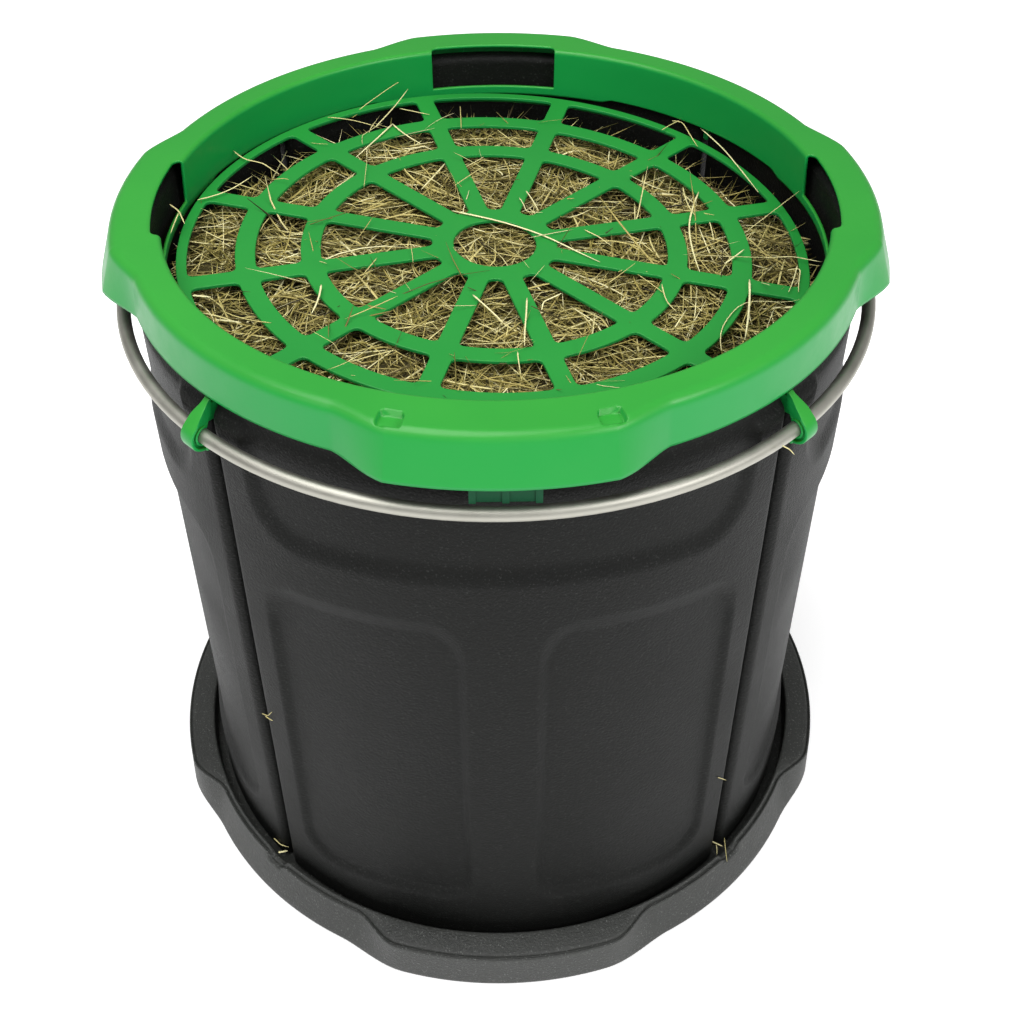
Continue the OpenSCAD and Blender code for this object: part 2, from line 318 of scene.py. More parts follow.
# ---------------------------------------------------------------- base tray
def base_tray():
    az = np.arange(0, 360, 0.5)
    fine = np.concatenate([45 + 90 * k + np.arange(-3.2, 3.21, 0.16) for k in range(4)])
    keep = np.array([np.min(np.abs((a - np.array([45, 135, 225, 315]) + 180) % 360 - 180)) > 3.25 for a in az])
    az = np.sort(np.concatenate([az[keep], fine % 360]))
    # profile: radius between lobes, height, reach of the lobe, and which transition it follows
    P = []
    def add(r, z, lw, kind):
        P.append((r, z, lw, kind))
    add(0.0, 6.0, 0, 0)
    add(150.0, 6.0, 0, 0)
    add(293.0, 6.0, 0, 0)
    for t in np.linspace(0, 1, 4):
        a = t * PI / 2
        add(295.5 + 2.5 * (1 - math.cos(a)) , 6.0 - 2.5 + 2.5 * math.cos(a) if t < 1 else 3.5, 0, 0)
    add(298.0, 1.5, 0, 0)
    add(299.5, 0.0, 0, 0)
    add(330.0, 0.0, 0.2, 0)
    for t in np.linspace(0, 1, 6):          # bottom outer edge
        a = -PI / 2 + t * PI / 2 * 0.95
        add(366.2 + 3.8 * math.cos(a), 3.8 + 3.8 * math.sin(a), 12.4, 0)
    for t in np.linspace(0.08, 1, 14):      # side band, steeper at the lobes than between them
        add(370.0 - 12.2 * t, 4.0 + 39.6 * t, 12.4 + 10.0 * t, t)
    for t in np.linspace(0.25, 1, 4):       # top edge of the side band
        a = t * PI / 2
        add(357.8 - 1.8 + 1.8 * math.cos(a), 43.8 + 1.9 * math.sin(a), 22.4, 1)
    add(355.4, 44.2, 22.3, 1)               # dark line between the band and the lip
    add(354.8, 43.7, 22.2, 1)
    add(354.2, 44.2, 22.1, 1)
    add(353.9, 46.0, 22.0, 1)
    add(353.5, 46.9, 21.8, 1)
    for t in np.linspace(0.12, 1, 8):       # lip, nearly level
        add(353.5 - 1.6 * t, 46.9 + 2.8 * (1 - (1 - t) ** 1.6), 21.8 * (1 - t), 1)
    for t in np.linspace(0.15, 1, 6):       # rounded inner rim
        a = PI / 2 + t * PI / 2
        add(351.9 + 2.6 * math.cos(a), 47.1 + 2.6 * math.sin(a), 0, 1)
    add(349.2, 44.0, 0, 1)
    add(349.1, 38.0, 0, 1)
    add(349.0, 30.0, 0, 1)
    add(348.5, 25.5, 0, 1)
    add(347.0, 24.0, 0, 1)
    add(312.0, 24.0, 0, 1)
    add(309.6, 25.5, 0, 1)
    add(309.0, 30.0, 0, 1)
    add(309.0, 38.0, 0, 1)
    add(307.5, 39.7, 0, 1)
    add(305.0, 40.0, 0, 1)
    add(150.0, 40.0, 0, 1)
    add(0.0, 40.0, 0, 1)
    P = np.array(P)
    o = off90(az)
    w0 = smooth((29.0 - o) / (29.0 - 16.5))
    w1 = smooth((26.5 - o) / (26.5 - 17.5))
    A = np.radians(az)[:, None]
    W = w0[:, None] * (1 - P[None, :, 3]) + w1[:, None] * P[None, :, 3]
    R = P[None, :, 0] + P[None, :, 2] * W
    Z = np.repeat(P[None, :, 1], len(az), 0).copy()
    # saddles in the rim at the panel joints
    d45 = np.abs((az - 45.0) % 90.0)
    d45 = np.minimum(d45, 90.0 - d45) * PI / 180 * 352.0
    notch = smooth((18.5 - d45) / 12.0)[:, None]
    zone = ((P[:, 1] > 37.5) & (P[:, 0] > 330))[None, :]
    low = 38.2 + 0.12 * (Z - 38.2)
    Z = Z * (1 - notch * zone) + np.minimum(Z, low) * notch * zone
    V = np.stack([R * np.cos(A), R * np.sin(A), Z], -1).reshape(-1, 3) * MM
    nu, nv = len(az), len(P)
    faces = grid_faces(nu, nv, wrap_u=True)
    ob = make_object("base_tray_shell", V, faces, M_BASE)
    bm = bmesh.new()
    bm.from_mesh(ob.data)
    bmesh.ops.remove_doubles(bm, verts=bm.verts, dist=1e-6)
    bmesh.ops.recalc_face_normals(bm, faces=bm.faces)
    bm.to_mesh(ob.data)
    bm.free()
    ob.data.polygons.foreach_set("use_smooth", [True] * len(ob.data.polygons))
    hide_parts("base_tray")
    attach(ob, "stand")
    return ob


# ---------------------------------------------------------------- wall panels
def sd_round(x, z, x0, x1, z0, z1, r_tl, r_tr, r_br, r_bl):
    """Signed distance to a box with its own radius at each corner; negative inside."""
    cx, cz = (x0 + x1) / 2, (z0 + z1) / 2
    px, pz = x - cx, z - cz
    r = np.where(px < 0, np.where(pz > 0, r_tl, r_bl), np.where(pz > 0, r_tr, r_br))
    qx = np.abs(px) - (x1 - x0) / 2 + r
    qz = np.abs(pz) - (z1 - z0) / 2 + r
    return np.minimum(np.maximum(qx, qz), 0) + np.hypot(np.maximum(qx, 0), np.maximum(qz, 0)) - r


def field_depth(x, z):
    """How deep the outer face is sunk at arc position x and height z, in millimetres."""
    ax = np.abs(x)
    zt = z + 12.0 * (ax / 228.0) ** 2
    d = sd_round(ax, zt, 31.5, 229.0, 88.0, 515.0, 38.0, 34.0, 46.0, 26.0)
    w = 9.0 + 15.0 * smooth((zt - 455.0) / 45.0) + 9.0 * smooth((135.0 - zt) / 40.0)
    low = 6.0 * smooth(-d / w)
    zp = z + 10.0 * (ax / 228.0) ** 2
    d2 = sd_round(ax, zp, -229.0, 229.0, 556.0, 1400.0, 0.0, 0.0, 58.0, 58.0)
    w2 = 13.0 + 11.0 * smooth((640.0 - zp) / 60.0)
    head = 6.0 * smooth(-d2 / w2)
    return np.maximum(low, head)


def wall_panel(name, node, az_mid, strike):
    S = math.radians(45.0) * WALL_R - 3.5
    rc, ri = 10.0, 6.0
    n_arc = 210
    # section of the panel: outer arc, right end, inner arc, left end
    loop = [(s, WALL_R, 0.0, 1.0) for s in np.linspace(-S + rc, S - rc, n_arc)]
    def corner(sgn, r_c, r_mid, a0, a1, n):
        for a in np.linspace(a0, a1, n):
            a = math.radians(a)
            yield (sgn * (S - r_c) + r_c * math.cos(a), r_mid + r_c * math.sin(a), math.cos(a), math.sin(a))
    loop += list(corner(1, rc, WALL_R - rc, 90, 0, 11))[1:]
    loop += [(S, r, 1.0, 0.0) for r in np.linspace(WALL_R - rc, WALL_RI + ri, 4)[1:]]
    loop += list(corner(1, ri, WALL_RI + ri, 0, -90, 7))[1:-1]
    i_in = len(loop)
    loop += [(s, WALL_RI, 0.0, -1.0) for s in np.linspace(S - ri, -S + ri, n_arc)]
    i_end = len(loop)
    loop += list(corner(-1, ri, WALL_RI + ri, -90, -180, 7))[1:]
    loop += [(-S, r, -1.0, 0.0) for r in np.linspace(WALL_RI + ri, WALL_R - rc, 4)[1:]]
    loop += list(corner(-1, rc, WALL_R - rc, 180, 90, 11))[1:-1]
    L = np.array(loop)
    # levels: height and inset of the section
    lev = []
    rb, rt = 6.0, 8.0
    for t in np.linspace(0, 1, 6):
        a = t * PI / 2
        lev.append((WALL_Z0 + rb - rb * math.cos(a), rb * (1 - math.sin(a))))
    zs = np.concatenate([np.arange(WALL_Z0 + rb + 3, 80, 4), np.arange(80, 150, 2.4), np.arange(150, 440, 6.0),
                         np.arange(440, 690, 2.4), np.arange(690, WALL_TOP - rt - 1, 2.4)])
    lev += [(z, 0.0) for z in zs]
    for t in np.linspace(0, 1, 8):
        a = t * PI / 2
        lev.append((WALL_TOP - rt + rt * math.sin(a), rt * (1 - math.cos(a))))
    Zl = np.array([l[0] for l in lev])[None, :]
    In = np.array([l[1] for l in lev])[None, :]
    s0, r0, ns, nr = (L[:, k][:, None] for k in range(4))
    neck = smooth((Zl - (NECK_Z - 1)) / 13.0)
    # the top edge slopes down further on the inside than on the outside
    ease_in = np.where(nr < 0, 0.95, np.where(Zl > 600, 0.55, 1.0))
    s = s0 - In * ns * np.where(nr < 0, 0.6, 1.0)
    outer = np.clip(nr, 0, 1)
    dep = field_depth(s0, Zl + 0 * s0) * outer ** 2
    cut = dep * (1 - neck) + 8.0 * neck * outer
    r = r0 - In * nr * ease_in - cut
    # the neck moves the whole outer part of the rounded edge inwards
    side = (np.abs(nr) < 0.5) & (r0 > (WALL_R + WALL_RI) / 2)
    r = np.where(side, r0 - In * nr - dep * (1 - neck) - 8.0 * neck * np.clip((r0 - WALL_RI - ri) / (WALL_R - rc - WALL_RI - ri), 0, 1), r)
    mid = (nr >= 0.5)
    r = np.where(mid, r0 - In * nr * ease_in - dep * (1 - neck) - 8.0 * neck, r)
    A = math.radians(az_mid) + s / WALL_R
    V = np.stack([r * np.cos(A), r * np.sin(A), Zl + 0 * s], -1)
    nu, nv = V.shape[:2]
    V = V.reshape(-1, 3) * MM
    faces = grid_faces(nu, nv, wrap_u=True)
    for row, flip in ((0, False), (nv - 1, True)):
        caps = []
        for i in range(n_arc - 1):
            caps.append((i, i + 1, i_end - 2 - i, i_end - 1 - i))
        caps.append(tuple(range(n_arc - 1, i_in + 1)))
        caps.append(tuple(range(i_end - 1, nu)) + (0,))
        for c in caps:
            f = tuple(q * nv + row for q in c)
            faces.append(f[::-1] if flip else f)
    ob = make_object(name, V, faces, M_BLACK)
    fix_normals(ob)
    if strike:
        a = math.radians(az_mid)
        bm = bmesh.new()
        bmesh.ops.create_cube(bm, size=1.0)
        bmesh.ops.scale(bm, vec=(5 * MM, 48 * MM, 7 * MM), verts=bm.verts)
        bmesh.ops.translate(bm, vec=(334.4 * MM, 0, 668.0 * MM), verts=bm.verts)
        bmesh.ops.rotate(bm, cent=(0, 0, 0), matrix=Matrix.Rotation(a, 3, "Z"), verts=bm.verts)
        bmesh.ops.bevel(bm, geom=bm.edges[:] , offset=1.2 * MM, segments=3, affect="EDGES")
        me = bpy.data.meshes.new(name + "_s")
        bm.to_mesh(me)
        bm.free()
        st = bpy.data.objects.new(name + "_s", me)
        bpy.context.scene.collection.objects.link(st)
        me.materials.append(M_BLACK)
        ob = join([ob, st], name)
    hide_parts(node)
    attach(ob, "stand")
    return ob


# ---------------------------------------------------------------- lid ring
def fillet_path(pts, radii, n=7):
    """Rounds the corners of an open polyline; the same number of points whatever the shape."""
    pts = [np.array(p, float) for p in pts]
    out = [pts[0]]
    for i in range(1, len(pts) - 1):
        a, b, c = pts[i - 1], pts[i], pts[i + 1]
        u, v = a - b, c - b
        lu, lv = np.linalg.norm(u), np.linalg.norm(v)
        u, v = u / lu, v / lv
        ang = math.acos(np.clip(np.dot(u, v), -1, 1))
        rad = radii[i]
        t = rad / math.tan(ang / 2) if ang < PI - 1e-3 else 0
        t = min(t, lu * 0.49, lv * 0.49)
        rr = t * math.tan(ang / 2)
        bis = u + v
        bis = bis / (np.linalg.norm(bis) + 1e-12)
        cen = b + bis * (rr / math.sin(ang / 2) if ang < PI - 1e-3 else 0)
        p0, p1 = b + u * t, b + v * t
        d0, d1 = p0 - cen, p1 - cen
        for k in range(n):
            q = k / (n - 1)
            # slerp between the two spokes
            om = math.acos(np.clip(np.dot(d0, d1) / (np.linalg.norm(d0) * np.linalg.norm(d1) + 1e-12), -1, 1))
            if om < 1e-6:
                out.append(p0 * (1 - q) + p1 * q)
            else:
                out.append(cen + (math.sin((1 - q) * om) * d0 + math.sin(q * om) * d1) / math.sin(om))
    out.append(pts[-1])
    return np.array(out)


def refine(path, step):
    """Returns the path unchanged; adds no points."""
    return path


def lid_profile(w, lip):
    """Outer skirt to inner lip, as radius and height, for lobe weight w."""
    arc = [(337.2, 684.0), (334.0, 726.9), (301.6, 726.6), (305.2, lip)]
    lobe = [(360.0, 684.0), (345.9, 726.8), (301.6, 726.6), (305.2, lip)]
    pts = [tuple((1 - w) * np.array(a) + w * np.array(b)) for a, b in zip(arc, lobe)]
    path = fillet_path(pts, [0, 10.2, 4.6, 0], 9)
    # more points across the crown, closest together at the windows' outer edge
    a, b = path[9], path[10]
    def on(r):
        return [r, a[1] + (b[1] - a[1]) * (a[0] - r) / (a[0] - b[0])]
    add = np.array([on(a[0] * (1 - t) + CUT_R * t) for t in SPREAD] + [on(r) for r in (CUT_R, CUT_R - 0.35, CUT_R - 1.1, CUT_R - 2.1, CUT_R - 3.3)])
    return np.concatenate([path[:10], add, path[10:]])


CUT_R, CUT_Z = 310.5, 682.5
SPREAD = (0.07, 0.14, 0.21, 0.28, 0.36, 0.44, 0.53, 0.63, 0.75, 0.88)


def lobe_weight(o):
    t = np.clip((22.8 - o) / 8.4, 0, 1)
    return 0.6 * t + 0.4 * t * t * (3 - 2 * t)


def lid_ring():
    win_x = 65.6
    # columns: nominal angle from the window centre
    half = np.concatenate([np.linspace(0, 11.4, 14), np.linspace(11.7, 12.65, 9), [12.65], np.linspace(12.8, 17.4, 37), np.arange(17.8, 31.0, 0.45), np.arange(31.4, 45.0, 1.0)])
    half = np.unique(np.round(half, 4))
    quarter = np.concatenate([-half[:0:-1], half])
    cols = np.concatenate([quarter + 90 * k for k in range(4)])
    nominal = np.tile(quarter, 4)
    centre = np.repeat(np.arange(4) * 90.0, len(quarter))
    a13 = 12.65
    rows_wall = 16
    rows_skirt = 15
    rows_top = rows_skirt - 1 + 9 + len(SPREAD)
    V = []
    zs = []
    for c, a in zip(centre, nominal):
        o = abs(a)
        wl = float(lobe_weight(o))
        lip = 677.6 - 4.2 * float(smooth((25.2 - o) / 3.2))
        prof = lid_profile(wl, lip)
        # rows on the skirt and on the inner wall
        sk = prof[0] + (prof[1] - prof[0]) * np.linspace(0, 1, rows_skirt)[:-1, None]
        # inner wall rows: one of them lies on the window's lower edge
        top = prof[-2]
        zrow = np.concatenate([np.linspace(top[1], CUT_Z, 8)[1:], np.linspace(CUT_Z, lip, 6)[1:]])
        rrow = top[0] + (prof[-1][0] - top[0]) * (top[1] - zrow) / (top[1] - lip)
        inner = np.stack([rrow, zrow], -1)
        mid = prof[1:-1]
        full = np.concatenate([sk, mid, inner])
        r = full[:, 0]
        # columns run parallel across a window and radially away from it
        if o <= a13:
            x = win_x * math.sin(math.radians(a)) / math.sin(math.radians(a13))
            # the window's two upper corners are rounded
            d = np.clip(CUT_R - r, 0, 5.0)
            up = (full[:, 1] > 700) & (r < CUT_R + 2.5)
            tuck = np.where(up, 5.0 - np.sqrt(np.clip(25.0 - (5.0 - d) ** 2, 0, 25)), 0.0)
            tuck = np.where(up & (r >= CUT_R), 5.0 * np.clip(1 - (r - CUT_R) / 2.5, 0, 1), tuck)
            x = x * (1 - tuck / win_x)
            ang = np.degrees(np.arcsin(np.clip(x / r, -1, 1)))
        else:
            d = np.clip(CUT_R - r, 0, 5.0)
            up = (full[:, 1] > 700) & (r < CUT_R + 2.5)
            tuck = np.where(up, 5.0 - np.sqrt(np.clip(25.0 - (5.0 - d) ** 2, 0, 25)), 0.0)
            tuck = np.where(up & (r >= CUT_R), 5.0 * np.clip(1 - (r - CUT_R) / 2.5, 0, 1), tuck)
            xe = (win_x - tuck) * (1 if a > 0 else -1)
            edge = np.degrees(np.arcsin(xe / r))
            ang = a + (edge - a13 * (1 if a > 0 else -1)) * (45.0 - o) / (45.0 - a13)
        # the lobe's reach follows the true angle of each point
        wl2 = lobe_weight(np.abs(ang))
        if abs(wl2 - wl).max() > 1e-3:
            # blend between the plain and the lobed section for each row
            pa = lid_full(0.0, lip, rows_skirt)
            pb = lid_full(1.0, lip, rows_skirt)
            full = pa * (1 - wl2[:, None]) + pb * wl2[:, None]
            r = full[:, 0]
        if c > 269:
            # two shallow pockets in the front lobe's shoulder
            run = np.concatenate([[0], np.cumsum(np.hypot(np.diff(full[:, 0]), np.diff(full[:, 1])))])
            dq = np.abs(run - np.interp(-335.2, -full[:rows_top, 0], run[:rows_top]))
            for s0 in (-14.3, 14.3):
                ds = np.abs(ang - s0) * PI / 180 * 334.0
                q = sd_round(ds, dq, -10.0, 10.0, -7.8, 7.8, 3.4, 3.4, 3.4, 3.4)
                push = 5.6 * smooth((0.5 - q) / 1.5) * (np.arange(len(r)) < rows_top)
                full = full - push[:, None] * np.array([[0.34, 0.94]])
            r = full[:, 0]
        A = np.radians(c + ang)
        V.append(np.stack([r * np.cos(A), r * np.sin(A), full[:, 1]], -1))
        zs.append(np.stack([r, full[:, 1]], -1))
    V = np.array(V)
    nu, nv = V.shape[:2]
    RZ = np.array(zs)
    faces = []
    for i in range(nu):
        i2 = (i + 1) % nu
        a1, a2 = nominal[i], nominal[i2]
        in_win = centre[i] < 269 and max(abs(a1), abs(a2)) <= a13 + 1e-6 and abs(a2 - a1) < 5
        for j in range(nv - 1):
            if in_win:
                rz = (RZ[i, j] + RZ[i, j + 1] + RZ[i2, j] + RZ[i2, j + 1]) / 4
                if rz[0] < CUT_R and rz[1] > CUT_Z:
                    continue
            faces.append((i * nv + j, i2 * nv + j, i2 * nv + j + 1, i * nv + j + 1))
    ob = make_object("lid_ring_shell", V.reshape(-1, 3) * MM, faces, M_GREEN)
    bm = bmesh.new()
    bm.from_mesh(ob.data)
    loose = [v for v in bm.verts if not v.link_faces]
    bmesh.ops.delete(bm, geom=loose, context="VERTS")
    bmesh.ops.recalc_face_normals(bm, faces=bm.faces)
    bm.to_mesh(ob.data)
    bm.free()
    return ob


def lid_full(w, lip, rows_skirt):
    prof = lid_profile(w, lip)
    sk = prof[0] + (prof[1] - prof[0]) * np.linspace(0, 1, rows_skirt)[:-1, None]
    top = prof[-2]
    zrow = np.concatenate([np.linspace(top[1], CUT_Z, 8)[1:], np.linspace(CUT_Z, lip, 6)[1:]])
    rrow = top[0] + (prof[-1][0] - top[0]) * (top[1] - zrow) / (top[1] - lip)
    return np.concatenate([sk, prof[1:-1], np.stack([rrow, zrow], -1)])


def thicken(ob, t, bevel):
    so = ob.modifiers.new("s", "SOLIDIFY")
    so.thickness = t * MM
    so.offset = -1.0
    so.use_even_offset = False
    so.use_quality_normals = True
    if bevel:
        be = ob.modifiers.new("b", "BEVEL")
        be.width = bevel * MM
        be.segments = 2
        be.limit_method = "ANGLE"
        be.angle_limit = math.radians(50)
        be.use_clamp_overlap = True
    apply_mods(ob)
    return ob


def lid_assembly():
    ob = lid_ring()
    # which way the skin faces, so that the thickness goes inwards
    ob.data.update()
    p = max(ob.data.polygons, key=lambda q: q.center.z)
    if p.normal.z < 0:
        ob.data.flip_normals()
    thicken(ob, 2.8, 0.0)
    parts = [ob]
    # ears for the latch pins
    for k in (0, 1):
        rot = Matrix.Rotation(math.radians(-90 + 180 * k), 3, "Z")
        for s in (-1, 1):
            bm = bmesh.new()
            y0 = s * 34.5
            outline = []
            for t in np.linspace(200, 340, 12):
                outline.append((337.5 + 4.2 * math.cos(math.radians(t)), 693.0 + 4.2 * math.sin(math.radians(t))))
            outline += [(341.4, 712.0), (340.4, 722.6), (333.6, 722.6)]
            lo = [bm.verts.new((x * MM, (y0 - 2.5) * MM, z * MM)) for x, z in outline]
            hi = [bm.verts.new((x * MM, (y0 + 2.5) * MM, z * MM)) for x, z in outline]
            bm.faces.new(lo)
            bm.faces.new(hi[::-1])
            n = len(lo)
            for i in range(n):
                bm.faces.new((lo[i], hi[i], hi[(i + 1) % n], lo[(i + 1) % n]))
            bmesh.ops.rotate(bm, cent=(0, 0, 0), matrix=rot, verts=bm.verts)
            bmesh.ops.recalc_face_normals(bm, faces=bm.faces)
            me = bpy.data.meshes.new("ear")
            bm.to_mesh(me)
            bm.free()
            e = bpy.data.objects.new("ear", me)
            bpy.context.scene.collection.objects.link(e)
            me.materials.append(M_GREEN)
            parts.append(e)
    # ribs that stand on the panels
    for k in range(8):
        bm = bmesh.new()
        bmesh.ops.create_cube(bm, size=1.0)
        bmesh.ops.scale(bm, vec=(13 * MM, 3 * MM, 11.8 * MM), verts=bm.verts)
        bmesh.ops.translate(bm, vec=(320.5 * MM, 0, 718.3 * MM), verts=bm.verts)
        bmesh.ops.rotate(bm, cent=(0, 0, 0), matrix=Matrix.Rotation(math.radians(22.5 + 45 * k), 3, "Z"), verts=bm.verts)
        me = bpy.data.meshes.new("rib")
        bm.to_mesh(me)
        bm.free()
        e = bpy.data.objects.new("rib", me)
        bpy.context.scene.collection.objects.link(e)
        me.materials.append(M_GREEN)
        parts.append(e)
    ob = join(parts, "lid_ring_moulding")
    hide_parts("lid_ring")
    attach(ob, "lid")
    return ob


# ---------------------------------------------------------------- grid
def rounded_corner_loop(segments, t, n=6):
    """segments: list of polylines that follow each other round a closed loop; their joints get rounded by t millimetres."""
    out = []
    m = len(segments)
    def point_at(poly, dist, from_end):
        p = poly[::-1] if from_end else poly
        acc = 0.0
        for i in range(len(p) - 1):
            d = np.linalg.norm(p[i + 1] - p[i])
            if acc + d >= dist:
                return p[i] + (p[i + 1] - p[i]) * (dist - acc) / d, i + 1
            acc += d
        return p[-1], len(p) - 1
    for k in range(m):
        a, b = segments[k], segments[(k + 1) % m]
        la = np.sum(np.linalg.norm(np.diff(a, axis=0), axis=1))
        lb = np.sum(np.linalg.norm(np.diff(b, axis=0), axis=1))
        tt = min(t[k] if hasattr(t, "__len__") else t, la * 0.46, lb * 0.46)
        tp = min(t[k - 1] if hasattr(t, "__len__") else t, la * 0.46)
        # body of a, trimmed at both ends
        acc = np.concatenate([[0], np.cumsum(np.linalg.norm(np.diff(a, axis=0), axis=1))])
        inner = [a[i] for i in range(len(a)) if tp + 0.3 < acc[i] < la - tt - 0.3]
        out += inner
        p0, _ = point_at(a, tt, True)
        p2, _ = point_at(b, tt, False)
        c = a[-1]
        for q in np.linspace(0, 1, n):
            out.append((1 - q) ** 2 * p0 + 2 * q * (1 - q) * c + q * q * p2)
    return np.array(out)


def grid_holes():
    holes = []
    n = 12
    web = 18.5
    ra, rb_, hub = 0.788 * GRID_R, 0.584 * GRID_R, 0.200 * GRID_R
    rings = [(ra + web / 2, GRID_R - 9.5), (rb_ + web / 2, ra - web / 2), (hub, rb_ - web / 2)]
    for k in range(n):
        mid = math.radians(k * 30.0)
        for r0, r1 in rings:
            def ang(r):
                return math.radians(15.0) - math.asin(min(1, web / 2 / r))
            a1 = ang(r1)
            rin = r0
            if ang(r0) < 0.01:
                rin = web / 2 / math.sin(math.radians(15.0) - 0.01)
            a0 = ang(rin)
            P = lambda r, a: np.array([r * math.cos(mid + a), r * math.sin(mid + a)])
            outer = np.array([P(r1, a) for a in np.linspace(-a1, a1, 25)])
            side1 = np.array([P(r, ang(r)) for r in np.linspace(r1, rin, 20)])
            inner = np.array([P(rin, a) for a in np.linspace(a0, -a0, 13)])
            side2 = np.array([P(r, -ang(r)) for r in np.linspace(rin, r1, 20)])
            big = 7.0 if r0 > 100 else 6.0
            tip = 7.0 if r0 > 100 else 5.5
            holes.append(rounded_corner_loop([outer, side1, inner, side2], [big, tip, tip, big]))
    holes.append(np.array([(38.8 * math.cos(a), 38.8 * math.sin(a)) for a in np.linspace(0, 2 * PI, 73)[:-1]]))
    return holes


def float_grid():
    cu = bpy.data.curves.new("grid_outline", "CURVE")
    cu.dimensions = "2D"
    cu.fill_mode = "BOTH"
    bev = 0.8
    cu.extrude = (GRID_T / 2 - bev) * MM
    cu.bevel_depth = bev * MM
    cu.bevel_resolution = 2
    cu.offset = -bev * MM
    outer = np.array([(GRID_R * math.cos(a), GRID_R * math.sin(a)) for a in np.linspace(0, 2 * PI, 289)[:-1]])
    for loop in [outer] + grid_holes():
        sp = cu.splines.new("POLY")
        sp.points.add(len(loop) - 1)
        for p, q in zip(sp.points, loop):
            p.co = (q[0] * MM, q[1] * MM, 0, 1)
        sp.use_cyclic_u = True
    tmp = bpy.data.objects.new("grid_tmp", cu)
    bpy.context.scene.collection.objects.link(tmp)
    bpy.context.view_layer.update()
    dg = bpy.context.evaluated_depsgraph_get()
    me = bpy.data.meshes.new_from_object(tmp.evaluated_get(dg))
    bpy.data.objects.remove(tmp)
    bpy.data.curves.remove(cu)
    co = np.zeros(len(me.vertices) * 3)
    me.vertices.foreach_get("co", co)
    co = co.reshape(-1, 3)
    co[:, 2] -= GRID_T / 2 * MM
    me.vertices.foreach_set("co", co.ravel())
    me.materials.clear()
    me.materials.append(M_GRID)
    ob = bpy.data.objects.new("float_grid_plate", me)
    bpy.context.scene.collection.objects.link(ob)
    bm = bmesh.new()
    bm.from_mesh(me)
    bmesh.ops.remove_doubles(bm, verts=bm.verts, dist=2e-6)
    bmesh.ops.recalc_face_normals(bm, faces=bm.faces)
    bm.to_mesh(me)
    bm.free()
    me.polygons.foreach_set("use_smooth", [False] * len(me.polygons))
    for p in me.polygons:
        p.use_smooth = abs(p.normal.z) < 0.999
    # down-turned rim
    prof = [(293.4, -2.8), (293.4, -7.7), (292.8, -8.4), (290.8, -8.4), (290.1, -7.7), (290.0, -2.8)]
    az = np.radians(np.arange(0, 360, 1.25))
    V = np.array([[(r * math.cos(a), r * math.sin(a), z) for r, z in prof] for a in az]).reshape(-1, 3) * MM
    rim = make_object("rim_tmp", V, grid_faces(len(az), len(prof), True, True), M_GRID)
    fix_normals(rim)
    ob = join([ob, rim], "float_grid_moulding")
    ob.data.transform(GRID_M)
    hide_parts("float_grid")
    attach(ob, "grid")
    return ob


